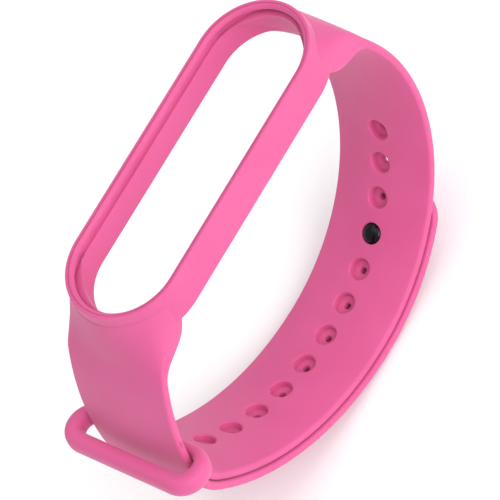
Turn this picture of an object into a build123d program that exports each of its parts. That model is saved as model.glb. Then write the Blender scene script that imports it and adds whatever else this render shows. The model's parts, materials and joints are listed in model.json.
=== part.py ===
"""Silicone band for a pill-shaped fitness tracker capsule, closed as it is worn.

X runs across the strap, Y along the capsule frame and Z up. The origin is the
middle of the flat rim at the top of the frame. The keeper end is towards -Y.
The band is one moulding, so its nodes are the stretches between its hinge lines.
"""

import os
from math import asin, atan2, cos, degrees, radians, sin, sqrt

from build123d import *

# ---- Driving dimensions, in millimetres ----

# Capsule frame
END_SPACING = 37.2            # between the centres of the two round ends
MOUTH_HALF_WIDTH = 9.0        # opening at the retaining lip
RIM_FACE = 1.25               # flat face round the opening
LIP_HEIGHT = 0.9
GROOVE_DEPTH = 0.6            # undercut that the capsule's edge snaps into
GROOVE_HEIGHT = 1.3
SEAT_TAPER = 0.5              # narrowing of the opening from lip to base
BASE_FLARE = 0.85             # widening of the outside from rim to base
FRAME_HEIGHT = 6.5
SHOULDER_DROP = 2.0           # rim down to the top of the strap
ROOT_LEAN = 1.0               # strap root past the frame's base
ROOT_THICKNESS = 2.4          # strap root's edge at the frame's base

# Straps
HOLE_STRAP_INSET = 1.1        # hole strap narrower than the rim, both sides together
FRONT_STRAP_INSET = 0.3       # the same for the front strap
STRAP_THICKNESS = 1.3         # at the edges
INNER_CROWN = 1.2             # swell of the hole strap towards the wrist
OUTER_CROWN = 0.7             # swell of the front strap away from the wrist
EDGE_ROUND = 0.5
LAYER_GAP = 0.2               # between the two layers under the wrist

# Loop seen from the side: back, bottom and front arcs, and a bend by the keeper
BACK_RADIUS = 32.4            # inner face of the hole strap behind the wrist
BACK_CENTRE_DEPTH = 22.9
FRONT_RADIUS = 47.0           # outer face of the front strap
FRONT_CENTRE_DEPTH = 36.6
BEND_RADIUS = 10.0            # outer face of the front strap below the keeper
BEND_TOP_DEPTH = 30.8         # where the bend ends and the front arc starts
LUG_DEPTH = 12.0              # hinge lines at the lugs, below the rim
BACK_LUG_REACH = 2.4          # the same, past the frame's end
FRONT_LUG_REACH = 2.6 

# Hinge lines
HINGE_SINK = 0.1              # rounded end below the top of the strap's swell
HINGE_GAP = 0.25
SIDE_HINGE_DEPTH = 29.0
KEEPER_TO_HINGE = 4.6
STUD_TO_HINGE = 12.7

# Holes and tail
HOLE_COUNT = 12
HOLE_PITCH = 6.5
SIDE_HINGE_TO_HOLE = 10.0
HOLE_MOUTH_RADIUS = 1.9
HOLE_MOUTH_DEPTH = 1.3
HOLE_LEDGE_RADIUS = 1.3
CLASPED_HOLE = 3              # counted from 0 at the back lug
TAIL_LENGTH = 9.0             # from the stud to the tip
TAIL_CORNER_RADIUS = 4.6

# Clasp
STUD_CLEARANCE = 0.3          # head in the clasped hole
STUD_HEAD_HEIGHT = 1.4
STUD_NECK_RADIUS = 1.1
STUD_COLLAR_RADIUS = 2.4
STUD_COLLAR_HEIGHT = 0.6
STUD_STAND_OUT = 0.1          # head's top past the swell of the hole strap
CAP_RADIUS = 3.3
CAP_HEIGHT = 1.0
CAP_DOME = 0.3
CAP_SINK = 0.6                # into the swell of the tail
SHANK_LENGTH_IN_CAP = 0.5

# Keeper loop
KEEPER_RISE = 3.6             # from the end of the bend up to the loop's middle
KEEPER_HEIGHT = 3.6
KEEPER_BAR = 3.0
KEEPER_INNER_BAR = 2.0
KEEPER_SIDE_GAP = 1.1
KEEPER_OUTER_GAP = 1.4
KEEPER_POCKET_GAP = 0.35      # hole strap's edges to the keeper's arms
KEEPER_CORNER_RADIUS = 3.6
KEEPER_INNER_CORNER_RADIUS = 1.2

# ---- Worked-out sizes and places ----

REACH = 200.0                 # longer than anything that it has to cut
OVERSHOOT = 1.0               # of a cut past the face that it opens
RIM_HALF_WIDTH = MOUTH_HALF_WIDTH + RIM_FACE
BASE_HALF_WIDTH = RIM_HALF_WIDTH + BASE_FLARE
HALF_SPACING = END_SPACING / 2
FRAME_END = HALF_SPACING + RIM_HALF_WIDTH
HALF_THICKNESS = STRAP_THICKNESS / 2
LAYER_STEP = STRAP_THICKNESS + LAYER_GAP
HINGE_RADIUS = HALF_THICKNESS + INNER_CROWN - HINGE_SINK
HALF_WIDTHS = (RIM_HALF_WIDTH - HOLE_STRAP_INSET / 2, RIM_HALF_WIDTH - FRONT_STRAP_INSET / 2)
INNER_BOWS = (-INNER_CROWN, 0)
OUTER_BOWS = (0, OUTER_CROWN)
HOLE_LAYER, FRONT_LAYER = 0, 1


def run_out(radius, depth):
    """Level distance from an arc's centre to where it passes the lugs."""
    return sqrt(radius**2 - (depth - LUG_DEPTH) ** 2)


BACK_MIDDLE = BACK_RADIUS + HALF_THICKNESS
FRONT_MIDDLE = FRONT_RADIUS - HALF_THICKNESS
BACK_CENTRE = (
    FRAME_END + BACK_LUG_REACH - run_out(BACK_MIDDLE, BACK_CENTRE_DEPTH),
    -BACK_CENTRE_DEPTH,
)
FRONT_CENTRE = (
    run_out(FRONT_MIDDLE, FRONT_CENTRE_DEPTH) - FRAME_END - FRONT_LUG_REACH,
    -FRONT_CENTRE_DEPTH,
)
FRONT_TURN = -180 - degrees(asin((FRONT_CENTRE_DEPTH - BEND_TOP_DEPTH) / FRONT_RADIUS))
BEND_CENTRE = (
    FRONT_CENTRE[0] + (FRONT_RADIUS - BEND_RADIUS) * cos(radians(FRONT_TURN)),
    FRONT_CENTRE[1] + (FRONT_RADIUS - BEND_RADIUS) * sin(radians(FRONT_TURN)),
)


def bottom_radius():
    """Inner face of the hole strap under the wrist, on the arc that joins back and bend."""
    wall = LAYER_STEP + STRAP_THICKNESS - BEND_RADIUS
    along = BEND_CENTRE[0] - BACK_CENTRE[0]
    drop = BACK_CENTRE[1] - BACK_RADIUS - BEND_CENTRE[1]
    return (along**2 + drop**2 - wall**2) / (2 * (wall - drop))


BOTTOM_RADIUS = bottom_radius()
BOTTOM_CENTRE = (BACK_CENTRE[0], BACK_CENTRE[1] + BOTTOM_RADIUS - BACK_RADIUS)
BOTTOM_TURN = degrees(
    atan2(BEND_CENTRE[1] - BOTTOM_CENTRE[1], BEND_CENTRE[0] - BOTTOM_CENTRE[0])
)

# The route down the back, under the wrist and up the front: each arc's centre,
# its radius at the middle of the hole strap, and the angles it falls between.
ROUTE = [
    (BACK_CENTRE, BACK_MIDDLE, 90.0, -90.0),
    (BOTTOM_CENTRE, BOTTOM_RADIUS + HALF_THICKNESS, -90.0, BOTTOM_TURN),
    (BEND_CENTRE, BEND_RADIUS - HALF_THICKNESS - LAYER_STEP, BOTTOM_TURN, FRONT_TURN),
    (FRONT_CENTRE, FRONT_MIDDLE - LAYER_STEP, FRONT_TURN, -270.0),
]
BACK, FRONT = 0, 3


def arc_length(arc):
    """Length of one of the route's arcs along the hole strap's middle."""
    _, radius, start, end = ROUTE[arc]
    return radians(start - end) * radius


def run_at(arc, angle):
    """Distance along the route to an angle on one of its arcs."""
    _, radius, start, _ = ROUTE[arc]
    return sum(arc_length(i) for i in range(arc)) + radians(start - angle) * radius


def place_at(run):
    """Arc and angle at a distance along the route."""
    arc = 0
    while run > arc_length(arc):
        run -= arc_length(arc)
        arc += 1
    _, radius, start, _ = ROUTE[arc]
    return arc, start - degrees(run / radius)


def run_at_depth(arc, depth, layer):
    """Distance along the route to where a layer's middle lies at a depth."""
    centre, radius, _, _ = ROUTE[arc]
    rise = degrees(asin((-depth - centre[1]) / (radius + layer * LAYER_STEP)))
    return run_at(arc, -180 - rise if arc == FRONT else rise)


BACK_LUG = run_at_depth(BACK, LUG_DEPTH, HOLE_LAYER)
SIDE_HINGE = run_at_depth(BACK, SIDE_HINGE_DEPTH, HOLE_LAYER)
HOLES = [SIDE_HINGE + SIDE_HINGE_TO_HOLE + i * HOLE_PITCH for i in range(HOLE_COUNT)]
STUD = HOLES[CLASPED_HOLE]
TAIL_TIP = STUD - TAIL_LENGTH
TAIL_HINGE = STUD + STUD_TO_HINGE
KEEPER = run_at(FRONT, FRONT_TURN) + KEEPER_RISE
FRONT_HINGE = KEEPER + KEEPER_TO_HINGE
FRONT_LUG = run_at_depth(FRONT, LUG_DEPTH, FRONT_LAYER)


def point_at(run, layer, rise=0.0):
    """Point (y, z) above the middle of a layer, on the side away from the wrist."""
    arc, angle = place_at(run)
    centre, radius, _, _ = ROUTE[arc]
    out = radius + layer * LAYER_STEP + rise
    return (centre[0] + out * cos(radians(angle)), centre[1] + out * sin(radians(angle)))


def across_plane(run, layer):
    """Plane across the strap at a layer's middle: local y points away from the wrist."""
    y, z = point_at(run, layer)
    angle = radians(place_at(run)[1])
    return Plane(origin=(0, y, z), x_dir=(1, 0, 0), z_dir=(0, -sin(angle), cos(angle)))


def facing_plane(run, layer, rise):
    """Plane along the strap: local z points away from the wrist."""
    y, z = point_at(run, layer, rise)
    angle = radians(place_at(run)[1])
    return Plane(origin=(0, y, z), x_dir=(1, 0, 0), z_dir=(0, cos(angle), sin(angle)))


# ---- Shared shapes ----

def slot_block(top_half_width, top_depth, base_half_width, base_depth):
    """Solid with two straight sides and round ends, and plain sloping walls."""
    top = Pos(0, 0, -top_depth) * SlotCenterToCenter(END_SPACING, 2 * top_half_width, 90)
    base = Pos(0, 0, -base_depth) * SlotCenterToCenter(END_SPACING, 2 * base_half_width, 90)
    return loft([top, base], ruled=True)


def bowed_side(half_width, level, bow):
    """Line across the strap, or an arc whose middle stands off by the bow."""
    if bow:
        return ThreePointArc((-half_width, level), (0, level + bow), (half_width, level))
    return Line((-half_width, level), (half_width, level))


def section(half_width, inner, inner_bow, outer, outer_bow):
    """Four-sided face across a strap, drawn with local y away from the wrist."""
    inner_side = bowed_side(half_width, inner, inner_bow)
    outer_side = bowed_side(half_width, outer, outer_bow)
    left = Line(inner_side @ 0, outer_side @ 0)
    right = Line(inner_side @ 1, outer_side @ 1)
    return make_face([inner_side, outer_side, left, right])


def strap_section(layer):
    """Square-edged section of a layer, about its middle."""
    return section(
        HALF_WIDTHS[layer], -HALF_THICKNESS, INNER_BOWS[layer], HALF_THICKNESS, OUTER_BOWS[layer]
    )


def stretch(layer, start, end):
    """Strap between two distances along the route, with rounded edges."""
    whole = None
    last_arc = place_at(end)[0]
    for arc in range(place_at(start)[0], last_arc + 1):
        centre, _, from_angle, to_angle = ROUTE[arc]
        run_from = max(start, run_at(arc, from_angle))
        run_to = min(end, run_at(arc, to_angle))
        sweep = degrees((run_to - run_from) / ROUTE[arc][1])
        flat = strap_section(layer)
        face = across_plane(run_from, layer) * fillet(flat.vertices(), EDGE_ROUND)
        axis = Axis((0, centre[0], centre[1]), (-1, 0, 0))
        piece = revolve(face, axis, revolution_arc=sweep)
        whole = piece if whole is None else whole + piece
    return whole


def cross_bar(run, layer, radius):
    """Cylinder across the strap, about the middle of a layer."""
    y, z = point_at(run, layer)
    return Pos(0, y, z) * Rot(0, 90, 0) * Cylinder(radius, REACH)


def socket(piece, run, layer):
    """Hollow the end of a piece at a hinge line, round the rounded end that meets it."""
    return piece - cross_bar(run, layer, HINGE_RADIUS + HINGE_GAP)


def nose(piece, run, layer, side):
    """Round the end of a piece at a hinge line; side is +1 at its start, -1 at its end."""
    half = Box(REACH, 8 * HINGE_RADIUS, 4 * HINGE_RADIUS)
    beyond = across_plane(run, layer) * Pos(0, 0, side * 2 * HINGE_RADIUS) * half
    return piece - (beyond - cross_bar(run, layer, HINGE_RADIUS))


def round_peg(run, layer, low, high, radius):
    """Cylinder through the strap between two heights above a layer's middle."""
    peg = Cylinder(radius, high - low, align=(Align.CENTER, Align.CENTER, Align.MIN))
    return facing_plane(run, layer, low) * peg


# ---- Sub-parts ----

def shoulder(run, layer, side):
    """Root of a strap, from the frame's round end down to its hinge line."""
    half_width = HALF_WIDTHS[layer]
    wall = BASE_FLARE * SHOULDER_DROP / FRAME_HEIGHT
    faces = []
    for radius, depth in (
        (RIM_HALF_WIDTH + wall, SHOULDER_DROP),
        (BASE_HALF_WIDTH + ROOT_LEAN, FRAME_HEIGHT),
    ):
        edge = HALF_SPACING + sqrt(radius**2 - half_width**2)
        inner = edge - ROOT_THICKNESS
        inner_middle = HALF_SPACING + MOUTH_HALF_WIDTH - SEAT_TAPER
        outline = section(
            half_width, inner, inner_middle - inner, edge, HALF_SPACING + radius - edge
        )
        plane = Plane(origin=(0, 0, -depth), x_dir=(1, 0, 0), z_dir=(0, 0, side))
        faces.append(plane * outline)
    lug = across_plane(run, layer) * strap_section(layer)
    upper = loft(faces, ruled=True)
    lower = loft([faces[1], lug], ruled=True)
    return upper + lower


def capsule_frame():
    """Frame that holds the capsule, with the roots of both straps."""
    body = slot_block(RIM_HALF_WIDTH, 0, BASE_HALF_WIDTH, FRAME_HEIGHT)
    body += shoulder(BACK_LUG, HOLE_LAYER, 1)
    body += shoulder(FRONT_LUG, FRONT_LAYER, -1)
    groove_base = LIP_HEIGHT + GROOVE_HEIGHT
    groove = MOUTH_HALF_WIDTH + GROOVE_DEPTH
    base = MOUTH_HALF_WIDTH - SEAT_TAPER
    body -= slot_block(MOUTH_HALF_WIDTH, -OVERSHOOT, MOUTH_HALF_WIDTH, groove_base)
    body -= slot_block(groove, LIP_HEIGHT, groove, groove_base)
    body -= slot_block(MOUTH_HALF_WIDTH, groove_base, base, FRAME_HEIGHT)
    body = socket(body, BACK_LUG, HOLE_LAYER)
    return socket(body, FRONT_LUG, FRONT_LAYER)


def back_strap_root():
    """Plain top stretch of the hole strap."""
    piece = stretch(HOLE_LAYER, BACK_LUG - 2 * HINGE_RADIUS, SIDE_HINGE)
    piece = nose(piece, BACK_LUG, HOLE_LAYER, 1)
    return socket(piece, SIDE_HINGE, HOLE_LAYER)


def hole_strap():
    """Stretch with the holes, which ends at the keeper loop."""
    piece = stretch(HOLE_LAYER, SIDE_HINGE - 2 * HINGE_RADIUS, KEEPER)
    piece = nose(piece, SIDE_HINGE, HOLE_LAYER, 1)
    piece = socket(piece, KEEPER, HOLE_LAYER)
    face = -HALF_THICKNESS - INNER_CROWN
    for run in HOLES:
        ledge = HOLE_MOUTH_RADIUS if run == STUD else HOLE_LEDGE_RADIUS
        mouth_end = face + HOLE_MOUTH_DEPTH
        piece -= round_peg(run, HOLE_LAYER, face - OVERSHOOT, mouth_end, HOLE_MOUTH_RADIUS)
        piece -= round_peg(run, HOLE_LAYER, face, HALF_THICKNESS + OVERSHOOT, ledge)
    return piece


def front_strap_root():
    """Top stretch of the front strap."""
    piece = stretch(FRONT_LAYER, FRONT_HINGE, FRONT_LUG + 2 * HINGE_RADIUS)
    piece = nose(piece, FRONT_LUG, FRONT_LAYER, -1)
    return socket(piece, FRONT_HINGE, FRONT_LAYER)


def front_strap():
    """Stretch that passes through the keeper and lies outside the hole strap."""
    lead = 2 * HINGE_RADIUS
    piece = stretch(FRONT_LAYER, TAIL_HINGE - lead, FRONT_HINGE + lead)
    piece = nose(piece, TAIL_HINGE, FRONT_LAYER, 1)
    return nose(piece, FRONT_HINGE, FRONT_LAYER, -1)


def corner_cutter(side):
    """Removes one square corner of the tail's tip, leaving it round."""
    radius = TAIL_CORNER_RADIUS
    outside = HALF_WIDTHS[FRONT_LAYER] - radius
    plane = facing_plane(TAIL_TIP + radius, FRONT_LAYER, 0)
    corner = Pos(side * (outside + radius), -radius, 0) * Box(2 * radius, 2 * radius, radius)
    return plane * (corner - Pos(side * outside, 0, 0) * Cylinder(radius, radius))


def tail_end():
    """Tip of the front strap, which carries the clasp."""
    piece = stretch(FRONT_LAYER, TAIL_TIP, TAIL_HINGE)
    piece = socket(piece, TAIL_HINGE, FRONT_LAYER)
    for side in (-1, 1):
        piece -= corner_cutter(side)
    base = -HALF_THICKNESS
    top = HALF_THICKNESS + OUTER_CROWN
    for radius, low, high in (
        (STUD_COLLAR_RADIUS, base - OVERSHOOT, base + STUD_COLLAR_HEIGHT),
        (STUD_NECK_RADIUS, base, top),
        (CAP_RADIUS, top - CAP_SINK, top + OVERSHOOT),
    ):
        piece -= round_peg(STUD, FRONT_LAYER, low, high, radius)
    return piece


def clasp_stud():
    """Metal stud: domed head, neck and the collar that sits in the tail."""
    head_top = -LAYER_STEP - HALF_THICKNESS - INNER_CROWN - STUD_STAND_OUT
    head_base = head_top + STUD_HEAD_HEIGHT
    shank_top = HALF_THICKNESS + OUTER_CROWN - CAP_SINK + SHANK_LENGTH_IN_CAP
    collar_base = -HALF_THICKNESS
    head_radius = HOLE_MOUTH_RADIUS - STUD_CLEARANCE
    head = round_peg(STUD, FRONT_LAYER, head_top, head_base, head_radius)
    rim = head.edges().group_by(lambda edge: edge.center().Z)[-1]
    head = fillet(rim, STUD_HEAD_HEIGHT / 2)
    neck = round_peg(STUD, FRONT_LAYER, head_base, shank_top, STUD_NECK_RADIUS)
    collar_top = collar_base + STUD_COLLAR_HEIGHT
    return head + neck + round_peg(STUD, FRONT_LAYER, collar_base, collar_top, STUD_COLLAR_RADIUS)


def clasp_cap():
    """Metal cap on the outside of the tail, pressed on the stud's shank."""
    base = HALF_THICKNESS + OUTER_CROWN - CAP_SINK
    top = base + CAP_HEIGHT
    disc = round_peg(STUD, FRONT_LAYER, base, top, CAP_RADIUS)
    rim = disc.edges().group_by(lambda edge: edge.center().Z)[0]
    disc = fillet(rim, CAP_DOME)
    bore_top = base + SHANK_LENGTH_IN_CAP
    return disc - round_peg(STUD, FRONT_LAYER, base - OVERSHOOT, bore_top, STUD_NECK_RADIUS)


def keeper_loop():
    """Loop round the front strap, whose inner bar is round in the hole strap's end."""
    low = HALF_THICKNESS - KEEPER_INNER_BAR
    opening_low = HALF_THICKNESS
    opening_high = LAYER_STEP + HALF_THICKNESS + OUTER_CROWN + KEEPER_OUTER_GAP
    high = opening_high + KEEPER_BAR
    opening_half = HALF_WIDTHS[FRONT_LAYER] + KEEPER_SIDE_GAP
    outer = RectangleRounded(2 * (opening_half + KEEPER_BAR), high - low, KEEPER_CORNER_RADIUS)
    hole = RectangleRounded(
        2 * opening_half, opening_high - opening_low, KEEPER_INNER_CORNER_RADIUS
    )
    ring = Pos(0, (high + low) / 2) * outer - Pos(0, (opening_high + opening_low) / 2) * hole
    plane = across_plane(KEEPER, HOLE_LAYER)
    loop = plane * extrude(ring, KEEPER_HEIGHT / 2, both=True)
    pocket_half = HALF_WIDTHS[HOLE_LAYER] + KEEPER_POCKET_GAP
    pocket = Box(2 * pocket_half, 2 * KEEPER_INNER_BAR, KEEPER_HEIGHT)
    beside = plane * Pos(0, low, KEEPER_HEIGHT / 2) * pocket
    return loop - (beside - cross_bar(KEEPER, HOLE_LAYER, HINGE_RADIUS))


NODES = {
    "capsule_frame": capsule_frame,
    "back_strap_root": back_strap_root,
    "hole_strap": hole_strap,
    "keeper_loop": keeper_loop,
    "front_strap_root": front_strap_root,
    "front_strap": front_strap,
    "tail_end": tail_end,
    "clasp_stud": clasp_stud,
    "clasp_cap": clasp_cap,
}

os.makedirs("parts", exist_ok=True)
for name, build in NODES.items():
    solid = build()
    export_step(solid, f"parts/{name}.step")
    print(name, f"{solid.volume:.1f} mm3")
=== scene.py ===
# %% [markdown]
# # A silicone wrist band
# The real band is one soft moulding with a small metal clasp. This lesson builds its look around a
# working model that is already cut at its hinge lines. Some skins here ride on one moving body; those
# that cross a hinge line are baked in place and stay where they are drawn.

# %% Load the working model
import json
from math import asin, atan2, cos, degrees, pi, radians, sin, sqrt

import bmesh
import bpy
import numpy as np
from mathutils import Matrix, Vector


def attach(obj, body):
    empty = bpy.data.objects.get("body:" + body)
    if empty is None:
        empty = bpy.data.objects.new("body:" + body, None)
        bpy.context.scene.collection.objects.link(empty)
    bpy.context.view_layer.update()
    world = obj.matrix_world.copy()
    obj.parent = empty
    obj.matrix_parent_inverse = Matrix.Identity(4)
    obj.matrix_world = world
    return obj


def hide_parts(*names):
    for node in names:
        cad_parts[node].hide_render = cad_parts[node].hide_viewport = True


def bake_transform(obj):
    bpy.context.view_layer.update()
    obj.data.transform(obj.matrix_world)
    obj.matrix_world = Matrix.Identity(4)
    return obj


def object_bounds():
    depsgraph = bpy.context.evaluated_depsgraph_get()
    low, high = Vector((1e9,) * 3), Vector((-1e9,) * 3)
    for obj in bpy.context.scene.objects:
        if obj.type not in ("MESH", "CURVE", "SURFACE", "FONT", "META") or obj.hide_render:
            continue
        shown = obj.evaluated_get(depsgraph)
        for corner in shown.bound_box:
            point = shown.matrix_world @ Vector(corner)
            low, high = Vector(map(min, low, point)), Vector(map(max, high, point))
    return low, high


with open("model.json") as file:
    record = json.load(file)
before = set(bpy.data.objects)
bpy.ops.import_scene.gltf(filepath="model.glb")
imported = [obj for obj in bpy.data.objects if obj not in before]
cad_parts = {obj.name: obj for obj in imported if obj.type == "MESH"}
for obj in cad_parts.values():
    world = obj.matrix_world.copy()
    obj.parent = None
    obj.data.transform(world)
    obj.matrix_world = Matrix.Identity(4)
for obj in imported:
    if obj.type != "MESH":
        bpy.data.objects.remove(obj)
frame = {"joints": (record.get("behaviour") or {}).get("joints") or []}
cad_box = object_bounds()
scene = bpy.context.scene
MM = 0.001
joint_place = {joint["name"]: np.array(joint["pos_m"]) / MM for joint in frame["joints"]}
print("box in mm:", [[round(value / MM, 1) for value in corner] for corner in cad_box])

# %% [markdown]
# ## Sizes
# A maker fixes a few sizes first and works the rest out. These are the moulding's own, in
# millimetres, and the hinge lines come from the loaded model.

# %% Sizes of the moulding
END_SPACING = 37.2
MOUTH = 9.0
RIM_FACE = 1.25
LIP_HEIGHT = 0.9
GROOVE_DEPTH = 0.6
GROOVE_HEIGHT = 1.3
SEAT_TAPER = 0.5
BASE_FLARE = 0.85
FRAME_HEIGHT = 6.5
SHOULDER_DROP = 2.0
ROOT_LEAN = 1.0
ROOT_THICKNESS = 2.4
THICKNESS = 1.3
LAYER_GAP = 0.2
INNER_CROWN = 1.2
OUTER_CROWN = 0.7
EDGE_ROUND = 0.45
HOLE_STRAP_WIDTH = 19.4
FRONT_STRAP_WIDTH = 20.2
BACK_RADIUS = 32.4
BACK_CENTRE_DEPTH = 22.9
FRONT_RADIUS = 47.0
FRONT_CENTRE_DEPTH = 36.6
BEND_RADIUS = 10.0
BEND_TOP_DEPTH = 30.8
HOLE_COUNT = 12
HOLE_PITCH = 6.5
SIDE_HINGE_TO_HOLE = 10.0
MOUTH_RADIUS = 1.9
MOUTH_DEPTH = 1.3
WAY_THROUGH_RADIUS = 0.6      # drawn narrower than the working model's 1.3, so a hole looks blind
CLASPED_HOLE = 3
TAIL_LENGTH = 9.0
TAIL_CORNER = 4.6
KEEPER_TO_HINGE = 4.6

HALF = THICKNESS / 2
STEP = THICKNESS + LAYER_GAP
RIM = MOUTH + RIM_FACE
BASE = RIM + BASE_FLARE
CORE = END_SPACING / 2
HOLE_LAYER, FRONT_LAYER = 0, 1
HALF_WIDTH = (HOLE_STRAP_WIDTH / 2, FRONT_STRAP_WIDTH / 2)
print("strap layers", STEP, "mm apart, rim", 2 * RIM, "mm wide")

# %% [markdown]
# ## The route of the strap
# Seen from the side the strap follows four arcs: down the back, under the wrist, round a tight bend
# and up the front. Every soft piece is drawn flat and then wrapped on this route, as a real strap is
# moulded flat and worn bent. A spline could do it too, but arcs keep their radius exactly.

# %% Arcs of the route and the function that wraps a point on it
lug_back = joint_place["back_lug_flex"]
lug_front = joint_place["front_lug_flex"]
back_middle = BACK_RADIUS + HALF
front_middle = FRONT_RADIUS - HALF


def beside(radius, centre_depth, lug):
    """How far a lug stands from its arc's centre, level."""
    return sqrt(radius**2 - (centre_depth + lug[2]) ** 2)


back_centre = (lug_back[1] - beside(back_middle, BACK_CENTRE_DEPTH, lug_back), -BACK_CENTRE_DEPTH)
front_centre = (
    lug_front[1] + beside(front_middle, FRONT_CENTRE_DEPTH, lug_front),
    -FRONT_CENTRE_DEPTH,
)
front_turn = -180 - degrees(asin((FRONT_CENTRE_DEPTH - BEND_TOP_DEPTH) / FRONT_RADIUS))
reach = FRONT_RADIUS - BEND_RADIUS
bend_centre = (
    front_centre[0] + reach * cos(radians(front_turn)),
    front_centre[1] + reach * sin(radians(front_turn)),
)
wall = STEP + THICKNESS - BEND_RADIUS
along = bend_centre[0] - back_centre[0]
drop = back_centre[1] - BACK_RADIUS - bend_centre[1]
bottom_radius = (along**2 + drop**2 - wall**2) / (2 * (wall - drop))
bottom_centre = (back_centre[0], back_centre[1] + bottom_radius - BACK_RADIUS)
bottom_turn = degrees(
    atan2(bend_centre[1] - bottom_centre[1], bend_centre[0] - bottom_centre[0])
)
ARCS = [
    (back_centre, back_middle, 90.0, -90.0),
    (bottom_centre, bottom_radius + HALF, -90.0, bottom_turn),
    (bend_centre, BEND_RADIUS - HALF - STEP, bottom_turn, front_turn),
    (front_centre, front_middle - STEP, front_turn, -270.0),
]
ARC_ENDS = np.cumsum([radians(start - end) * radius for _, radius, start, end in ARCS])


def wrap(layer, run, across, height):
    """Place a point of a strap: distance along the route, across it, and above its middle."""
    run, across, height = np.broadcast_arrays(
        *(np.asarray(value, float) for value in (run, across, height))
    )
    arc = np.clip(np.searchsorted(ARC_ENDS, run), 0, len(ARCS) - 1)
    centres = np.array([centre for centre, _, _, _ in ARCS])[arc]
    radii = np.array([radius for _, radius, _, _ in ARCS])[arc]
    starts = np.radians([start for _, _, start, _ in ARCS])[arc]
    before = np.concatenate([[0.0], ARC_ENDS[:-1]])[arc]
    angle = starts - (run - before) / radii
    out = radii + layer * STEP + height
    return np.stack(
        [across, centres[..., 0] + out * np.cos(angle), centres[..., 1] + out * np.sin(angle)], -1
    )


def run_of(place, layer):
    """Distance along the route of the point of a layer that is nearest to a place."""
    runs = np.linspace(0, ARC_ENDS[-1], 20001)
    gaps = np.linalg.norm(wrap(layer, runs, 0, 0)[:, 1:] - np.asarray(place)[1:], axis=1)
    return float(runs[gaps.argmin()])


BACK_LUG = run_of(lug_back, HOLE_LAYER)
SIDE_HINGE = run_of(joint_place["back_side_flex"], HOLE_LAYER)
FRONT_LUG = run_of(lug_front, FRONT_LAYER)
TAIL_HINGE = run_of(joint_place["tail_peel"], FRONT_LAYER)
KEEPER = run_of(joint_place["keeper_tilt"], HOLE_LAYER)
FRONT_HINGE = KEEPER + KEEPER_TO_HINGE
FIRST_HOLE = SIDE_HINGE + SIDE_HINGE_TO_HOLE
STUD = FIRST_HOLE + CLASPED_HOLE * HOLE_PITCH
TAIL_TIP = STUD - TAIL_LENGTH
print("route in mm:", [round(value, 2) for value in (BACK_LUG, SIDE_HINGE, KEEPER, FRONT_LUG)])

# %% [markdown]
# ## Finishes
# Moulded silicone is a soft matte rubber. It scatters a little light under its surface, so thin edges
# glow, and its mould leaves a very fine grain. The stud is plated metal, polished nearly black.

# %% Helpers for node trees and colours
def linear(hex_colour):
    """Turn an sRGB hex colour into the linear values that a shader wants."""
    parts = [int(hex_colour[i : i + 2], 16) / 255 for i in (1, 3, 5)]
    return [p / 12.92 if p <= 0.04045 else ((p + 0.055) / 1.055) ** 2.4 for p in parts] + [1.0]


def add(tree, kind, links=None, **settings):
    """Add a node, set its values and inputs, and link its inputs to other sockets."""
    node = tree.nodes.new(kind)
    for name, value in settings.items():
        if name in node.inputs:
            node.inputs[name].default_value = value
        else:
            setattr(node, name, value)
    for name, socket in (links or {}).items():
        tree.links.new(socket, node.inputs[name])
    return node


def new_material(name):
    """An empty material with its shader, its tree and its object coordinates."""
    material = bpy.data.materials.new(name)
    material.use_nodes = True
    tree = material.node_tree
    return material, tree, tree.nodes["Principled BSDF"], add(tree, "ShaderNodeTexCoord")


# %% Moulded silicone
SILICONE_PINK = "#CD578B"
SILICONE_DEEP = "#C85286"
CLOUD_SIZE = 14.0             # mm, slow change of tone in the pigment
MOULD_GRAIN = 0.22            # mm, real grain is finer than this, so it is drawn coarser to show


def moulded_silicone():
    """Pigmented silicone rubber from a spark-eroded mould: soft, matte and slightly translucent."""
    material, tree, shader, place = new_material("moulded_silicone")
    cloud = add(tree, "ShaderNodeTexNoise", {"Vector": place.outputs["Object"]})
    cloud.inputs["Scale"].default_value = 1 / (CLOUD_SIZE * MM)
    cloud.inputs["Detail"].default_value = 2
    tone = add(tree, "ShaderNodeValToRGB", {"Fac": cloud.outputs["Fac"]})
    tone.color_ramp.elements[0].position = 0.35
    tone.color_ramp.elements[0].color = linear(SILICONE_DEEP)
    tone.color_ramp.elements[1].position = 0.65
    tone.color_ramp.elements[1].color = linear(SILICONE_PINK)
    tree.links.new(tone.outputs["Color"], shader.inputs["Base Color"])
    grain = add(tree, "ShaderNodeTexNoise", {"Vector": place.outputs["Object"]})
    grain.inputs["Scale"].default_value = 1 / (MOULD_GRAIN * MM)
    grain.inputs["Detail"].default_value = 3
    rough = add(tree, "ShaderNodeMapRange", {"Value": grain.outputs["Fac"]})
    rough.inputs["To Min"].default_value = 0.5
    rough.inputs["To Max"].default_value = 0.62
    tree.links.new(rough.outputs["Result"], shader.inputs["Roughness"])
    bump = add(tree, "ShaderNodeBump", {"Height": grain.outputs["Fac"]})
    bump.inputs["Strength"].default_value = 0.12
    bump.inputs["Distance"].default_value = 0.02 * MM
    tree.links.new(bump.outputs["Normal"], shader.inputs["Normal"])
    shader.inputs["IOR"].default_value = 1.41
    shader.inputs["Specular IOR Level"].default_value = 0.35
    shader.inputs["Subsurface Weight"].default_value = 0.25
    shader.inputs["Subsurface Radius"].default_value = (1.0, 0.35, 0.5)
    shader.inputs["Subsurface Scale"].default_value = 1.2 * MM
    shader.inputs["Sheen Weight"].default_value = 0.2
    shader.inputs["Sheen Roughness"].default_value = 0.5
    shader.inputs["Sheen Tint"].default_value = linear("#FFD8EA")
    return material


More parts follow.
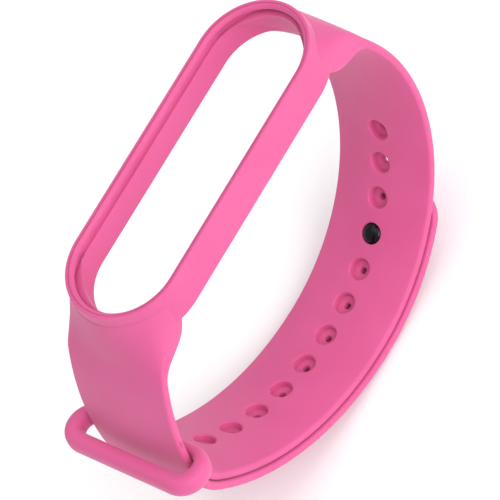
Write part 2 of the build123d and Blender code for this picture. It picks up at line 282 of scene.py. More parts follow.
def black_plating():
    """Stud metal with a polished black plating: dark, mirror-like, with faint polishing marks."""
    material, tree, shader, place = new_material("black_plating")
    marks = add(tree, "ShaderNodeTexNoise", {"Vector": place.outputs["Object"]})
    marks.inputs["Scale"].default_value = 1 / (0.4 * MM)
    marks.inputs["Detail"].default_value = 4
    rough = add(tree, "ShaderNodeMapRange", {"Value": marks.outputs["Fac"]})
    rough.inputs["To Min"].default_value = 0.12
    rough.inputs["To Max"].default_value = 0.24
    tree.links.new(rough.outputs["Result"], shader.inputs["Roughness"])
    shader.inputs["Base Color"].default_value = linear("#2A2A2E")
    shader.inputs["Metallic"].default_value = 1.0
    return material


SILICONE = moulded_silicone()
PLATING = black_plating()
print("finishes:", SILICONE.name, PLATING.name)

# %% [markdown]
# ## Sections and skins
# A strap's cross-section is a bar with crowned faces and soft corners. A skin is a row of such
# sections joined by quads, closed at both ends. Curve to Mesh could sweep one fixed section, but here
# the section changes along the way, so the rows are worked out one by one.

# %% A section, and a skin over rows of sections
CELL_HALF = HOLE_PITCH / 2
CELL_STEPS = 10               # quads along one side of a hole's square
SIDE_STEPS = 9                # quads between a hole's square and the strap's corner
CORNER_STEPS = 6
SHARP_ANGLE = radians(50)
ROW_STEP = 0.7                # between rows along a strap
GAP_EDGE_ROUND = 0.62         # edges that face the other layer are softer


def face_columns(half_width):
    """Places across a strap's face, closer together where the holes are."""
    flat_half = half_width - EDGE_ROUND
    cell = CELL_HALF * min(1.0, half_width / HALF_WIDTH[HOLE_LAYER])
    left = np.linspace(-flat_half, -cell, SIDE_STEPS + 1)[:-1]
    middle = np.linspace(-cell, cell, CELL_STEPS + 1)
    return np.concatenate([left, middle, -left[::-1]])


def bowed(across, half_width, level, bow):
    """Height of a crowned face."""
    return level + bow * (1 - (across / half_width) ** 2)


def corner(start, tip, end):
    """Soft corner between two faces, without its end points."""
    t = np.linspace(0, 1, CORNER_STEPS + 1)[1:-1, None]
    start, tip, end = (np.asarray(point, float) for point in (start, tip, end))
    return (1 - t) ** 2 * start + 2 * t * (1 - t) * tip + t**2 * end


def section(half_width, inner, inner_bow, outer, outer_bow, edges=(EDGE_ROUND, EDGE_ROUND)):
    """Closed outline (across, height) of a crowned bar: outer face, side, inner face, side."""
    columns = face_columns(half_width)
    outer_face = np.stack([columns, bowed(columns, half_width, outer, outer_bow)], 1)
    inner_face = np.stack([columns, bowed(columns, half_width, inner, inner_bow)], 1)[::-1]
    high, low = outer - edges[1], inner + edges[0]
    right = np.array([[half_width, high], [half_width, (high + low) / 2], [half_width, low]])
    left = right[::-1] * [-1, 1]
    return np.concatenate([
        outer_face, corner(outer_face[-1], (half_width, outer), right[0]), right,
        corner(right[-1], (half_width, inner), inner_face[0]), inner_face,
        corner(inner_face[-1], (-half_width, inner), left[0]), left,
        corner(left[-1], (-half_width, outer), outer_face[0]),
    ])


def layer_section(layer):
    """Section of one of the two strap layers."""
    inner_bow = -INNER_CROWN if layer == HOLE_LAYER else 0.0
    outer_bow = OUTER_CROWN if layer == FRONT_LAYER else 0.0
    edges = (EDGE_ROUND, GAP_EDGE_ROUND) if layer == HOLE_LAYER else (GAP_EDGE_ROUND, EDGE_ROUND)
    return section(HALF_WIDTH[layer], -HALF, inner_bow, HALF, outer_bow, edges)


def wrapped_rows(layer, runs):
    """Rows of a strap of constant section."""
    outline = layer_section(layer)
    return [wrap(layer, run, outline[:, 0], outline[:, 1]) for run in runs]


def evenly(start, end):
    """Distances from start to end, about one row step apart."""
    return np.linspace(start, end, max(2, round(abs(end - start) / ROW_STEP) + 1))


def piece_from(name, points, faces, material):
    """A smooth object from points in millimetres, with its doubles merged and faces outwards."""
    mesh = bpy.data.meshes.new(name)
    mesh.from_pydata([tuple(point) for point in np.asarray(points) * MM], [], faces)
    shell = bmesh.new()
    shell.from_mesh(mesh)
    bmesh.ops.remove_doubles(shell, verts=shell.verts, dist=0.002 * MM)
    bmesh.ops.dissolve_degenerate(shell, edges=shell.edges, dist=0.001 * MM)
    bmesh.ops.recalc_face_normals(shell, faces=shell.faces)
    for face in shell.faces:
        face.smooth = True
    for edge in shell.edges:
        edge.smooth = edge.calc_face_angle(0) < SHARP_ANGLE
    shell.to_mesh(mesh)
    open_edges = sum(edge.is_boundary for edge in shell.edges)
    shell.free()
    mesh.materials.append(material)
    piece = bpy.data.objects.new(name, mesh)
    scene.collection.objects.link(piece)
    print(name, len(mesh.polygons), "faces,", open_edges, "open edges")
    return piece


def skin_faces(row_count, size, skip=None):
    """Quads between rows, without those that skip(row, column) names, and the two end caps."""
    faces = []
    for row in range(row_count - 1):
        for column in range(size):
            if skip and skip(row, column):
                continue
            after = (column + 1) % size
            a, b = row * size, (row + 1) * size
            faces.append((a + column, a + after, b + after, b + column))
    faces.append(tuple(range(size)))
    faces.append(tuple((row_count - 1) * size + i for i in range(size)))
    return faces


def skin(name, rows, material=SILICONE):
    """Closed skin over rows of sections."""
    points = np.concatenate(rows)
    return piece_from(name, points, skin_faces(len(rows), len(rows[0])), material)


def rounded_end(layer, run, side, outline, length=1.0, steps=6):
    """Rows that round a strap's end over; side is +1 for the far end and -1 for the near one."""
    half_width = outline[:, 0].max()
    inner = bowed(outline[:, 0], half_width, -HALF, -INNER_CROWN if layer == HOLE_LAYER else 0.0)
    outer = bowed(outline[:, 0], half_width, HALF, OUTER_CROWN if layer == FRONT_LAYER else 0.0)
    middle, half = (inner + outer) / 2, (outer - inner) / 2
    rows = []
    for turn in np.linspace(0, pi / 2, steps + 1)[1:]:
        height = middle + (outline[:, 1] - middle) * cos(turn)
        rows.append(wrap(layer, run + side * half * length * sin(turn), outline[:, 0], height))
    return rows


# %% [markdown]
# ## Roots of the straps
# Each strap grows out of a round end of the frame. There it is strongly bowed, like the frame, and
# it flattens by the time it hangs free. A few key sections fix that shape, and a smooth curve through
# each point of them fills in the rest.

# %% Root of a strap, from inside the frame's wall to its lug
TOP_CORNER = 1.6              # radius of the root's top corners
LEDGE = 0.12                  # how far the root stands off the frame's wall
TUCK = 0.25                   # how far its hidden start lies inside that wall
TUCK_RISE = 0.15              # and above the shoulder
BASE_FLATNESS = (0.8, 0.35)   # share of the frame's bow gone at its base, back and front
ROWS_BETWEEN_KEYS = (3, 12, 16)


def frame_outline(layer, radius, depth, flatness=0.0):
    """Key section of a root, level with a depth of the frame."""
    half_width = HALF_WIDTH[layer]
    outer = CORE + sqrt(radius**2 - half_width**2)
    inner = outer - ROOT_THICKNESS
    inner_middle = CORE + MOUTH - SEAT_TAPER
    outline = section(half_width, inner, inner_middle - inner, outer, CORE + radius - outer)
    arc = np.sqrt(np.maximum(radius**2 - outline[:, 0] ** 2, 0)) + CORE
    bow = bowed(outline[:, 0], half_width, outer, CORE + radius - outer)
    across = np.abs(outline[:, 0])
    over = np.clip(across - (half_width - TOP_CORNER), 0, TOP_CORNER)
    sag = TOP_CORNER - np.sqrt(TOP_CORNER**2 - over**2)
    on_face = np.clip(1 - np.abs(outline[:, 1] - bow) / EDGE_ROUND, 0, 1)
    level = outline[:, 1] + on_face * (arc - bow)
    flat = on_face * flatness * (CORE + radius - arc)
    return np.stack([outline[:, 0], level + flat, -depth - sag], 1)


def root_rows(layer, side, lug_run, step):
    """Rows of a root; side is +1 at the back and -1 at the front, step is along the route."""
    wall_radius = RIM + BASE_FLARE * SHOULDER_DROP / FRAME_HEIGHT
    keys = [
        frame_outline(layer, wall_radius - TUCK, SHOULDER_DROP - TUCK_RISE),
        frame_outline(layer, wall_radius + LEDGE, SHOULDER_DROP + LEDGE),
        frame_outline(layer, BASE + ROOT_LEAN, FRAME_HEIGHT, BASE_FLATNESS[layer]),
    ]
    keys = [key * [1, side, 1] for key in keys]
    outline = layer_section(layer)
    lug = wrap(layer, lug_run, outline[:, 0], outline[:, 1])
    beyond = wrap(layer, lug_run + step, outline[:, 0], outline[:, 1])
    keys += [lug, beyond]
    spans = [np.linalg.norm(b - a, axis=1, keepdims=True) for a, b in zip(keys, keys[1:])]
    slopes = [(keys[1] - keys[0]) / spans[0]]
    for i in range(1, 4):
        before, after = (keys[i] - keys[i - 1]) / spans[i - 1], (keys[i + 1] - keys[i]) / spans[i]
        slopes.append((before * spans[i] + after * spans[i - 1]) / (spans[i] + spans[i - 1]))
    slopes[1] = (keys[2] - keys[1]) / spans[1]
    slopes[3] = (keys[4] - keys[3]) / spans[3]
    rows = []
    for i, count in enumerate(ROWS_BETWEEN_KEYS):
        for t in np.linspace(0, 1, count + 1)[:-1]:
            rows.append(
                (2 * t**3 - 3 * t**2 + 1) * keys[i]
                + (t**3 - 2 * t**2 + t) * slopes[i] * spans[i]
                + (3 * t**2 - 2 * t**3) * keys[i + 1]
                + (t**3 - t**2) * slopes[i + 1] * spans[i]
            )
    return rows + [lug]


SEAM_BACK = (BACK_LUG + SIDE_HINGE) / 2
SEAM_HOLES = SIDE_HINGE + 6.0
back_rows = root_rows(HOLE_LAYER, 1, BACK_LUG, ROW_STEP)
back_rows += wrapped_rows(HOLE_LAYER, evenly(BACK_LUG, SEAM_BACK)[1:])
back_root_skin = skin("back_strap_root_skin", back_rows)
front_rows = root_rows(FRONT_LAYER, -1, FRONT_LUG, -ROW_STEP)
front_rows += wrapped_rows(FRONT_LAYER, evenly(FRONT_LUG, FRONT_HINGE)[1:])
front_rows += rounded_end(FRONT_LAYER, FRONT_HINGE, -1, layer_section(FRONT_LAYER))
front_root_skin = skin("front_strap_root_skin", front_rows)

# %% Back strap between the lug and the holes
side_rows = wrapped_rows(HOLE_LAYER, evenly(SEAM_BACK, SEAM_HOLES))
back_side_skin = skin("back_strap_side_skin", side_rows)

# %% Front strap through the keeper, and the tail with its rounded tip
SEAM_TAIL = TAIL_HINGE + 5.0
front_outline = layer_section(FRONT_LAYER)
strap_rows = wrapped_rows(FRONT_LAYER, evenly(SEAM_TAIL, FRONT_HINGE))
strap_rows += rounded_end(FRONT_LAYER, FRONT_HINGE, 1, front_outline)
front_strap_skin = skin("front_strap_skin", strap_rows)


def tail_rows():
    """Rows from the seam to the tip, narrowing round the tip's corners."""
    rows = wrapped_rows(FRONT_LAYER, evenly(SEAM_TAIL, TAIL_TIP + TAIL_CORNER)[:-1])
    full = HALF_WIDTH[FRONT_LAYER]
    for turn in np.linspace(0, 0.97 * pi / 2, 18):
        run = TAIL_TIP + TAIL_CORNER * (1 - sin(turn))
        half_width = full - TAIL_CORNER * (1 - cos(turn))
        outline = layer_section(FRONT_LAYER)
        across = outline[:, 0] * half_width / full
        rows.append(wrap(FRONT_LAYER, run, across, outline[:, 1]))
    last = outline * [half_width / full, 1]
    return rows + rounded_end(FRONT_LAYER, run, -1, last, length=0.1)


tail_skin = skin("tail_skin", tail_rows())

# %% [markdown]
# ## The row of holes
# Twelve equal holes repeat along the strap. One square of strap with its stepped hole is made as a
# mesh, Geometry Nodes repeats it along a line, and the flat strip is wrapped with the rest. Booleans
# would cut holes too, but they leave ragged shading on a curved face.

# %% One square of strap with a stepped hole
MOUTH_LIP = 0.32              # rounding of the mouth's edge
OUTER_LIP = 0.2               # rounding of the edge on the outside
LIP_MARGIN = 0.1              # flat ring left round each rounding


def square_ring():
    """Points round a hole's square, in step with the strap's columns."""
    side = np.linspace(-CELL_HALF, CELL_HALF, CELL_STEPS + 1)[:-1]
    flat = np.full(CELL_STEPS, CELL_HALF)
    return np.concatenate([
        np.stack([side, -flat], 1), np.stack([flat, side], 1),
        np.stack([-side, flat], 1), np.stack([-flat, -side], 1),
    ])


def hole_cell(name, ledge_radius):
    """Square of strap, drawn flat, with a wide mouth inside and a narrower way through."""
    square = square_ring()
    count = len(square)
    turn = np.arange(count) * 2 * pi / count - 3 * pi / 4
    circle = np.stack([np.cos(turn), np.sin(turn)], 1)
    half_width = HALF_WIDTH[HOLE_LAYER]
    mouth = [
        (MOUTH_RADIUS + MOUTH_LIP * (1 - sin(a)), MOUTH_LIP * (1 - cos(a)))
        for a in np.linspace(0, pi / 2, 7)
    ]
    steps = [(MOUTH_RADIUS, MOUTH_DEPTH - 0.2), (MOUTH_RADIUS - 0.04, MOUTH_DEPTH - 0.06)]
    ledge = [(ledge_radius + 0.12, MOUTH_DEPTH), (ledge_radius, MOUTH_DEPTH + 0.12)]
    if ledge_radius == MOUTH_RADIUS:
        steps, ledge = [], []
    rings = []
    for share in (1.0, 0.6, 0.25):
        ring = square * share + circle * (MOUTH_RADIUS + MOUTH_LIP + LIP_MARGIN) * (1 - share)
        rings.append((ring, bowed(ring[:, 0], half_width, -HALF, -INNER_CROWN)))
    for radius, depth in mouth + steps + ledge:
        ring = circle * radius
        rings.append((ring, bowed(ring[:, 0], half_width, -HALF, -INNER_CROWN) + depth))
    for a in np.linspace(0, pi / 2, 5):
        ring = circle * (ledge_radius + OUTER_LIP * (1 - cos(a)))
        rings.append((ring, np.full(count, HALF - OUTER_LIP * (1 - sin(a)))))
    for share in (0.25, 0.6, 1.0):
        ring = square * share + circle * (ledge_radius + OUTER_LIP + LIP_MARGIN) * (1 - share)
        rings.append((ring, np.full(count, HALF)))
    points = np.concatenate([np.column_stack([ring, height]) for ring, height in rings])
    faces = skin_faces(len(rings), count)[:-2]
    mesh = bpy.data.meshes.new(name)
    mesh.from_pydata([tuple(point) for point in points * MM], [], faces)
    cell = bpy.data.objects.new(name, mesh)
    scene.collection.objects.link(cell)
    return cell


# %% Geometry Nodes that repeat the square along a line
def new_tree(name, inputs):
    """A geometry tree with its inputs and its two group nodes."""
    tree = bpy.data.node_groups.new(name, "GeometryNodeTree")
    tree.interface.new_socket("Geometry", in_out="OUTPUT", socket_type="NodeSocketGeometry")
    for label, kind in inputs.items():
        tree.interface.new_socket(label, in_out="INPUT", socket_type=kind)
    return tree, add(tree, "NodeGroupInput"), add(tree, "NodeGroupOutput")


def punched_strip_tree():
    """Repeats a plain cell along a line, with another cell at one place."""
    tree, given, out = new_tree("punched_strip", {
        "Plain Cell": "NodeSocketObject", "Clasped Cell": "NodeSocketObject",
        "Count": "NodeSocketInt", "Pitch": "NodeSocketFloat", "Clasped": "NodeSocketInt",
        "Finish": "NodeSocketMaterial",
    })
    pitch = add(tree, "ShaderNodeCombineXYZ", {"Y": given.outputs["Pitch"]})
    line = add(tree, "GeometryNodeMeshLine", {
        "Count": given.outputs["Count"], "Offset": pitch.outputs["Vector"],
    })
    index = add(tree, "GeometryNodeInputIndex")
    here = add(tree, "FunctionNodeCompare", data_type="INT", operation="EQUAL")
    tree.links.new(index.outputs["Index"], here.inputs[2])
    tree.links.new(given.outputs["Clasped"], here.inputs[3])
    others = add(tree, "FunctionNodeBooleanMath", {0: here.outputs["Result"]}, operation="NOT")
    join = add(tree, "GeometryNodeJoinGeometry")
    for label, chosen in (("Plain Cell", others.outputs[0]), ("Clasped Cell", here.outputs[0])):
        cell = add(tree, "GeometryNodeObjectInfo", {"Object": given.outputs[label]})
        copies = add(tree, "GeometryNodeInstanceOnPoints", {
            "Points": line.outputs["Mesh"], "Selection": chosen, "Instance": cell.outputs["Geometry"],
        })
        tree.links.new(copies.outputs["Instances"], join.inputs["Geometry"])
    real = add(tree, "GeometryNodeRealizeInstances", {"Geometry": join.outputs["Geometry"]})
    merged = add(tree, "GeometryNodeMergeByDistance", {"Geometry": real.outputs["Geometry"]})
    merged.inputs["Distance"].default_value = 0.001 * MM
    finish = add(tree, "GeometryNodeSetMaterial", {
        "Geometry": merged.outputs["Geometry"], "Material": given.outputs["Finish"],
    })
    tree.links.new(finish.outputs["Geometry"], out.inputs["Geometry"])
    return tree


def grown(name, tree, values):
    """The plain mesh that a geometry tree gives for these inputs."""
    host = bpy.data.objects.new(name, bpy.data.meshes.new(name))
    scene.collection.objects.link(host)
    modifier = host.modifiers.new(name, "NODES")
    modifier.node_group = tree
    sockets = {item.name: item.identifier for item in tree.interface.items_tree}
    for label, value in values.items():
        modifier[sockets[label]] = value
    bpy.context.view_layer.update()
    solved = host.evaluated_get(bpy.context.evaluated_depsgraph_get())
    mesh = bpy.data.meshes.new_from_object(solved)
    bpy.data.objects.remove(host)
    return mesh


plain_cell = hole_cell("plain_cell", WAY_THROUGH_RADIUS)
clasped_cell = hole_cell("clasped_cell", MOUTH_RADIUS)
strip = grown("punched_strip", punched_strip_tree(), {
    "Plain Cell": plain_cell, "Clasped Cell": clasped_cell, "Count": HOLE_COUNT,
    "Pitch": HOLE_PITCH * MM, "Clasped": CLASPED_HOLE, "Finish": SILICONE,
})
for cell in (plain_cell, clasped_cell):
    bpy.data.objects.remove(cell)
print("punched strip:", len(strip.vertices), "points")

# %% Hole strap: the punched strip wrapped on the route, with the plain strap round it
STRIP_START = FIRST_HOLE - CELL_HALF
STRIP_END = STRIP_START + HOLE_COUNT * HOLE_PITCH


def hole_strap_skin():
    """Strap with its holes, ending in the keeper's inner bar."""
    outline = layer_section(HOLE_LAYER)
    cells = np.linspace(STRIP_START, STRIP_END, HOLE_COUNT * CELL_STEPS + 1)
    runs = np.concatenate([evenly(SEAM_HOLES, STRIP_START)[:-1], cells, evenly(STRIP_END, KEEPER)[1:]])
    rows = [wrap(HOLE_LAYER, run, outline[:, 0], outline[:, 1]) for run in runs]
    rows += rounded_end(HOLE_LAYER, KEEPER, 1, outline, length=0.3)
    face_size = 2 * SIDE_STEPS + CELL_STEPS + 1
    inner_start = face_size + 2 * (CORNER_STEPS - 1) + 3
    first = int(np.argmin(np.abs(runs - STRIP_START)))

    def in_strip(row, column):
        along = first <= row < first + HOLE_COUNT * CELL_STEPS
        outer = SIDE_STEPS <= column < SIDE_STEPS + CELL_STEPS
        inner = SIDE_STEPS <= column - inner_start < SIDE_STEPS + CELL_STEPS
        return along and (outer or inner)

    faces = skin_faces(len(rows), len(outline), in_strip)
    points = np.concatenate(rows)
    flat = np.array([vertex.co for vertex in strip.vertices]) / MM
    holes = wrap(HOLE_LAYER, FIRST_HOLE + flat[:, 1], flat[:, 0], flat[:, 2])
    faces += [tuple(index + len(points) for index in polygon.vertices) for polygon in strip.polygons]
    return piece_from("hole_strap_skin", np.concatenate([points, holes]), faces, SILICONE)


hole_skin = hole_strap_skin()

# %% [markdown]
# ## The frame
# The frame is one profile swept round a pill: a flat rim with a fine line, a bevelled lip, the groove
# that holds the capsule, and walls that lean. Geometry Nodes sweep it with Curve to Mesh, because one
# fixed section round one path is just what that node does.

# %% Profile of the frame and the path it follows
def softened(corners, steps=5, rest=0.06):
    """Outline with each corner rounded; points at both ends of an arc keep the flats flat."""
    outline = []
    for i, (u, v, radius) in enumerate(corners):
        here = np.array([u, v])
        before = np.array(corners[i - 1][:2]) - here
        after = np.array(corners[(i + 1) % len(corners)][:2]) - here
        before /= np.linalg.norm(before)
        after /= np.linalg.norm(after)
        half = 0.5 * np.arccos(np.clip(before @ after, -1, 1))
        trim = radius / np.tan(half)
        start, end = here + before * trim, here + after * trim
        centre = here + (before + after) / np.linalg.norm(before + after) * radius / sin(half)
        a = atan2(*(start - centre)[::-1])
        b = atan2(*(end - centre)[::-1])
        swing = (b - a + pi) % (2 * pi) - pi
        outline.append(start + before * rest)
        for t in np.linspace(0, 1, steps + 1):
            outline.append(centre + radius * np.array([cos(a + swing * t), sin(a + swing * t)]))
        outline.append(end + after * rest)
    return outline


FINE_LINE_AT = 0.55           # from the rim's outer edge
FINE_LINE_DEPTH = 0.09
LIP_BEVEL = 0.42
GROOVE_BASE = LIP_HEIGHT + GROOVE_HEIGHT
line_at = RIM - FINE_LINE_AT
FRAME_PROFILE = softened([
    (RIM, 0, 0.16),
    (line_at + 0.04, 0, 0.03),
    (line_at, -FINE_LINE_DEPTH, 0.03),
    (line_at - 0.07, -0.04, 0.02),
    (MOUTH + LIP_BEVEL, -0.04, 0.12),
    (MOUTH, -0.04 - LIP_BEVEL, 0.1),
    (MOUTH, -LIP_HEIGHT, 0.08),
    (MOUTH + GROOVE_DEPTH, -LIP_HEIGHT - 0.05, 0.15),
    (MOUTH + GROOVE_DEPTH, -GROOVE_BASE + 0.05, 0.2),
    (MOUTH, -GROOVE_BASE, 0.12),
    (MOUTH - SEAT_TAPER, -FRAME_HEIGHT, 0.3),
    (BASE, -FRAME_HEIGHT, 0.45),
])
END_SEGMENTS = 72
SIDE_SEGMENTS = 24


def pill_path():
    """Points round the frame's core line: two straight sides and two round ends of small radius."""
    small = 0.5
    points = []
    for side in (1, -1):
        for t in np.linspace(0, pi, END_SEGMENTS + 1):
            points.append((side * small * cos(t), side * (CORE + small * sin(t)), 0))
        ends = np.linspace(CORE, -CORE, SIDE_SEGMENTS + 1)[1:-1]
        points += [(-side * small, side * y, 0) for y in ends]
    return points, small


def closed_curve(name, points):
    """Closed poly curve through points in millimetres."""
    curve = bpy.data.curves.new(name, "CURVE")
    curve.dimensions = "3D"
    spline = curve.splines.new("POLY")
    spline.points.add(len(points) - 1)
    for target, point in zip(spline.points, points):
        target.co = (*(value * MM for value in point), 1)
    spline.use_cyclic_u = True
    item = bpy.data.objects.new(name, curve)
    scene.collection.objects.link(item)
    return item


def swept_rim_tree():
    """Sweeps a closed profile round a level path, upright, with a finish."""
    tree, given, out = new_tree("swept_rim", {
        "Path": "NodeSocketObject", "Profile": "NodeSocketObject", "Finish": "NodeSocketMaterial",
    })
    path = add(tree, "GeometryNodeObjectInfo", {"Object": given.outputs["Path"]})
    profile = add(tree, "GeometryNodeObjectInfo", {"Object": given.outputs["Profile"]})
    upright = add(tree, "GeometryNodeSetCurveNormal", {"Curve": path.outputs["Geometry"]})
    upright.mode = "Z_UP"
    sweep = add(tree, "GeometryNodeCurveToMesh", {
        "Curve": upright.outputs["Curve"], "Profile Curve": profile.outputs["Geometry"],
    })
    real = add(tree, "GeometryNodeRealizeInstances", {"Geometry": sweep.outputs["Mesh"]})
    finish = add(tree, "GeometryNodeSetMaterial", {
        "Geometry": real.outputs["Geometry"], "Material": given.outputs["Finish"],
    })
    tree.links.new(finish.outputs["Geometry"], out.inputs["Geometry"])
    return tree


path_points, core_radius = pill_path()
path = closed_curve("frame_path", path_points)
profile = closed_curve("frame_profile", [(u - core_radius, -v, 0) for u, v in FRAME_PROFILE])
swept = grown("swept_rim", swept_rim_tree(), {"Path": path, "Profile": profile, "Finish": SILICONE})
for curve in (path, profile):
    bpy.data.objects.remove(curve)
points = np.array([vertex.co for vertex in swept.vertices]) / MM
faces = [tuple(polygon.vertices) for polygon in swept.polygons]
frame_ring = piece_from("frame_ring", points, faces, SILICONE)
print("ring spans", np.round(points.min(0), 2), np.round(points.max(0), 2))

# %% [markdown]
# ## The keeper
# The keeper is a soft oval loop moulded on the end of the hole strap. Its bar is rounded all round
# and its corners are large, so it is drawn as a band between two outlines with an oval section.

# %% Keeper loop
KEEPER_HALF_HEIGHT = 1.8
KEEPER_LOW = HALF - 2.0
KEEPER_HIGH = STEP + HALF + OUTER_CROWN + 1.4
KEEPER_BAR = 3.0
KEEPER_HALF_OPENING = FRONT_STRAP_WIDTH / 2 + 1.1
KEEPER_CORNER = 4.3
KEEPER_INNER_CORNER = 1.7
SOFTNESS = 2.5                # 2 is an ellipse, and more is squarer


def rounded_box_line(half_width, low, high, radius, corner_steps=14, side_steps=14):
    """Closed outline of a box with round corners, in the same order whatever its size."""
    points = []
    corners = [(1, high, 0), (-1, high, 90), (-1, low, 180), (1, low, 270)]
    for side, level, start in corners:
        inwards = -radius if level == high else radius
        centre = np.array([side * (half_width - radius), level + inwards])
        for turn in np.radians(np.linspace(start, start + 90, corner_steps + 1)):
            points.append(centre + radius * np.array([cos(turn), sin(turn)]))
    points = np.array(points)
    full = []
    for i in range(4):
        part = points[i * (corner_steps + 1) : (i + 1) * (corner_steps + 1)]
        after = points[(i + 1) * (corner_steps + 1) % len(points)]
        full.append(part)
        full.append(part[-1] + (after - part[-1]) * np.linspace(0, 1, side_steps + 1)[1:-1, None])
    return np.concatenate(full)


def keeper_skin(steps=28):
    """Loop between an outer and an inner outline, with an oval bar."""
    outer = rounded_box_line(
        KEEPER_HALF_OPENING + KEEPER_BAR, KEEPER_LOW, KEEPER_HIGH + KEEPER_BAR, KEEPER_CORNER
    )
    inner = rounded_box_line(KEEPER_HALF_OPENING, HALF, KEEPER_HIGH, KEEPER_INNER_CORNER)
    points = []
    for out, into in zip(outer, inner):
        middle, half = (out + into) / 2, (out - into) / 2
        for turn in np.linspace(0, 2 * pi, steps, endpoint=False):
            c = np.sign(cos(turn)) * abs(cos(turn)) ** (2 / SOFTNESS)
            s = np.sign(sin(turn)) * abs(sin(turn)) ** (2 / SOFTNESS)
            across, height = middle + half * c
            points.append((across, height, KEEPER_HALF_HEIGHT * s))
    points = np.array(points)
    origin = wrap(HOLE_LAYER, KEEPER, 0, 0)
    out_way = wrap(HOLE_LAYER, KEEPER, 0, 1) - origin
    along_way = np.cross(out_way, (1, 0, 0))
    placed = (
        origin + points[:, :1] * [1, 0, 0] + points[:, 1:2] * out_way + points[:, 2:] * along_way
    )
    count = len(outer)
    faces = []
    for row in range(count):
        for column in range(steps):
            a, b = row * steps, (row + 1) % count * steps
            after = (column + 1) % steps
            faces.append((a + column, a + after, b + after, b + column))
    return piece_from("keeper_loop_skin", placed, faces, SILICONE)


keeper = keeper_skin()

# %% [markdown]
# ## The clasp
# The stud and its cap are turned on a lathe, so each is one outline spun about its axis. The head is
# a polished dome. It is drawn a little wider than the working model's head, which has clearance.

# %% Turned stud and cap
HEAD_RADIUS = 1.84
HEAD_DOME = 0.95
HEAD_STAND_OUT = 0.3
NECK_RADIUS = 1.1
COLLAR_RADIUS = 2.4
COLLAR_HEIGHT = 0.6
CAP_RADIUS = 3.3
CAP_HEIGHT = 1.0
CAP_SINK = 0.6
SPIN_STEPS = 64
POLE = 0.04                   # radius of the tiny flat in the middle of each end


def dome(radius, top, rise, steps=12):
    """Points of a dome's outline from its pole to its rim; a negative rise points inwards."""
    turns = np.linspace(POLE / radius, pi / 2, steps)
    return [(radius * sin(t), top - rise * (1 - cos(t))) for t in turns]


def turned(name, outline):
    """A round metal piece on the stud's axis, from points (radius, height over the tail)."""
    origin = wrap(FRONT_LAYER, STUD, 0, 0)
    out_way = wrap(FRONT_LAYER, STUD, 0, 1) - origin
    along_way = np.cross(out_way, (1, 0, 0))
    turn = np.linspace(0, 2 * pi, SPIN_STEPS, endpoint=False)[:, None]
    spokes = np.cos(turn) * [1, 0, 0] + np.sin(turn) * along_way
    rows = [origin + radius * spokes + height * out_way for radius, height in outline]
    return skin(name, rows, PLATING)


head_top = -STEP - HALF - INNER_CROWN - HEAD_STAND_OUT
cap_base = HALF + OUTER_CROWN - CAP_SINK
stud = turned("turned_stud", dome(HEAD_RADIUS, head_top, -HEAD_DOME) + [
    (HEAD_RADIUS, head_top + HEAD_DOME + 0.3), (HEAD_RADIUS - 0.2, head_top + HEAD_DOME + 0.5),
    (NECK_RADIUS + 0.1, head_top + HEAD_DOME + 0.5), (NECK_RADIUS, head_top + HEAD_DOME + 0.6),
    (NECK_RADIUS, -HALF), (COLLAR_RADIUS - 0.1, -HALF), (COLLAR_RADIUS, -HALF + 0.1),
    (COLLAR_RADIUS, -HALF + COLLAR_HEIGHT), (POLE, -HALF + COLLAR_HEIGHT),
])
cap = turned("turned_cap", dome(CAP_RADIUS - 0.2, cap_base + CAP_HEIGHT, 0.22) + [
    (CAP_RADIUS - 0.06, cap_base + CAP_HEIGHT - 0.3), (CAP_RADIUS, cap_base + CAP_HEIGHT - 0.45),
    (CAP_RADIUS, cap_base), (POLE, cap_base),
])

# %% [markdown]
# ## Moving with the model
# Each skin stands for its working piece. A skin that crosses one hinge line is not attached to a body:
# it keeps its drawn place and does not bend. Where the loop is open, at the hinge line above the
# keeper, both skins have round ends that turn in each other.

# %% Bodies, and skins baked in place
def bend(piece):
    """Bake a skin's placement into its points; the skin is not attached to any body and does not bend.
    """
    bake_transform(piece)


bend(back_root_skin)
bend(back_side_skin)
bend(front_root_skin)
bend(tail_skin)
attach(frame_ring, "frame")
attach(hole_skin, "cuff")
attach(front_strap_skin, "cuff")
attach(keeper, "keeper")
for metal in (stud, cap):
    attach(metal, "tail")
for piece, node in (
    (frame_ring, "capsule_frame"), (back_root_skin, "back_strap_root"), (hole_skin, "hole_strap"),
    (front_root_skin, "front_strap_root"), (front_strap_skin, "front_strap"),
    (tail_skin, "tail_end"), (keeper, "keeper_loop"), (stud, "clasp_stud"), (cap, "clasp_cap"),
):
    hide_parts(node)

# %% [markdown]
# ## Floor, light and camera
# A white floor and a broad soft light from the right keep the colour clean. A long lens far away
# keeps the two straps nearly parallel.

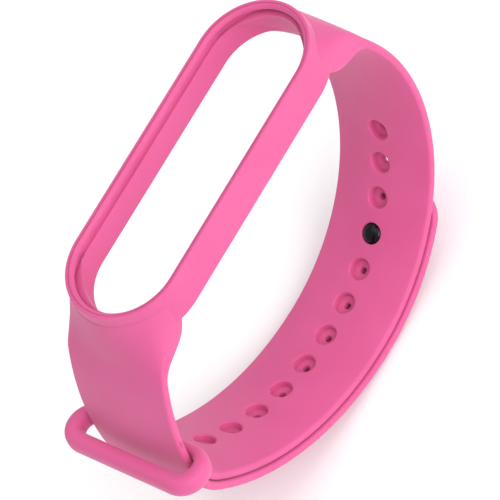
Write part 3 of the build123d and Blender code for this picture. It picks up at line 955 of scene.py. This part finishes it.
# %% Floor
floor_mesh = bpy.data.meshes.new("floor")
floor_half, floor_level = 3.0, min(corner[2] for corner in cad_box) - 0.02 * MM
floor_mesh.from_pydata(
    [(x * floor_half, y * floor_half, floor_level) for x, y in ((-1, -1), (1, -1), (1, 1), (-1, 1))],
    [], [(0, 1, 2, 3)],
)
floor = bpy.data.objects.new("floor", floor_mesh)
scene.collection.objects.link(floor)
paper, tree, shader, _ = new_material("white_paper")
shader.inputs["Base Color"].default_value = (0.93, 0.93, 0.93, 1)
shader.inputs["Roughness"].default_value = 0.9
floor_mesh.materials.append(paper)

# %% Light
world = bpy.data.worlds.new("studio")
scene.world = world
world.use_nodes = True
world.node_tree.nodes["Background"].inputs["Color"].default_value = (1, 1, 1, 1)
world.node_tree.nodes["Background"].inputs["Strength"].default_value = 0.68
scene.view_settings.view_transform = "Standard"
TARGET = Vector((0, 0, -0.028))


def soft_light(name, place, size, power, colour=(1, 1, 1)):
    """Square area light that faces the object."""
    light = bpy.data.lights.new(name, "AREA")
    light.size = size
    light.energy = power
    light.color = colour
    lamp = bpy.data.objects.new(name, light)
    lamp.location = place
    lamp.rotation_euler = (TARGET - Vector(place)).to_track_quat("-Z", "Y").to_euler()
    scene.collection.objects.link(lamp)


soft_light("key_right", (0.55, 0.0, 0.28), 0.5, 3.4)
soft_light("top", (0.0, 0.1, 0.7), 0.8, 2.2)

# %% Camera
AZIMUTH, ELEVATION, ROLL = 1.207, 0.879, -0.742
DISTANCE = 0.546871
LENS = 249.28
SHIFT_X, SHIFT_Y = -0.0155, 0.0167
AIM = Vector((0, -0.002722, -0.028))
back_way = Vector((
    sin(AZIMUTH) * cos(ELEVATION), -cos(AZIMUTH) * cos(ELEVATION), sin(ELEVATION),
))
level_way = Vector((cos(AZIMUTH), sin(AZIMUTH), 0))
up_way = back_way.cross(level_way)
right = level_way * cos(ROLL) + up_way * sin(ROLL)
up = up_way * cos(ROLL) - level_way * sin(ROLL)
camera_data = bpy.data.cameras.new("camera")
camera_data.lens = LENS
camera_data.sensor_width = 36
camera_data.clip_end = 10
camera_data.shift_x = SHIFT_X
camera_data.shift_y = SHIFT_Y
camera = bpy.data.objects.new("camera", camera_data)
turned = Matrix((right, up, back_way)).transposed().to_4x4()
camera.matrix_world = Matrix.Translation(AIM + back_way * DISTANCE) @ turned
scene.collection.objects.link(camera)
scene.camera = camera
print("camera stands", round(DISTANCE, 2), "m away")
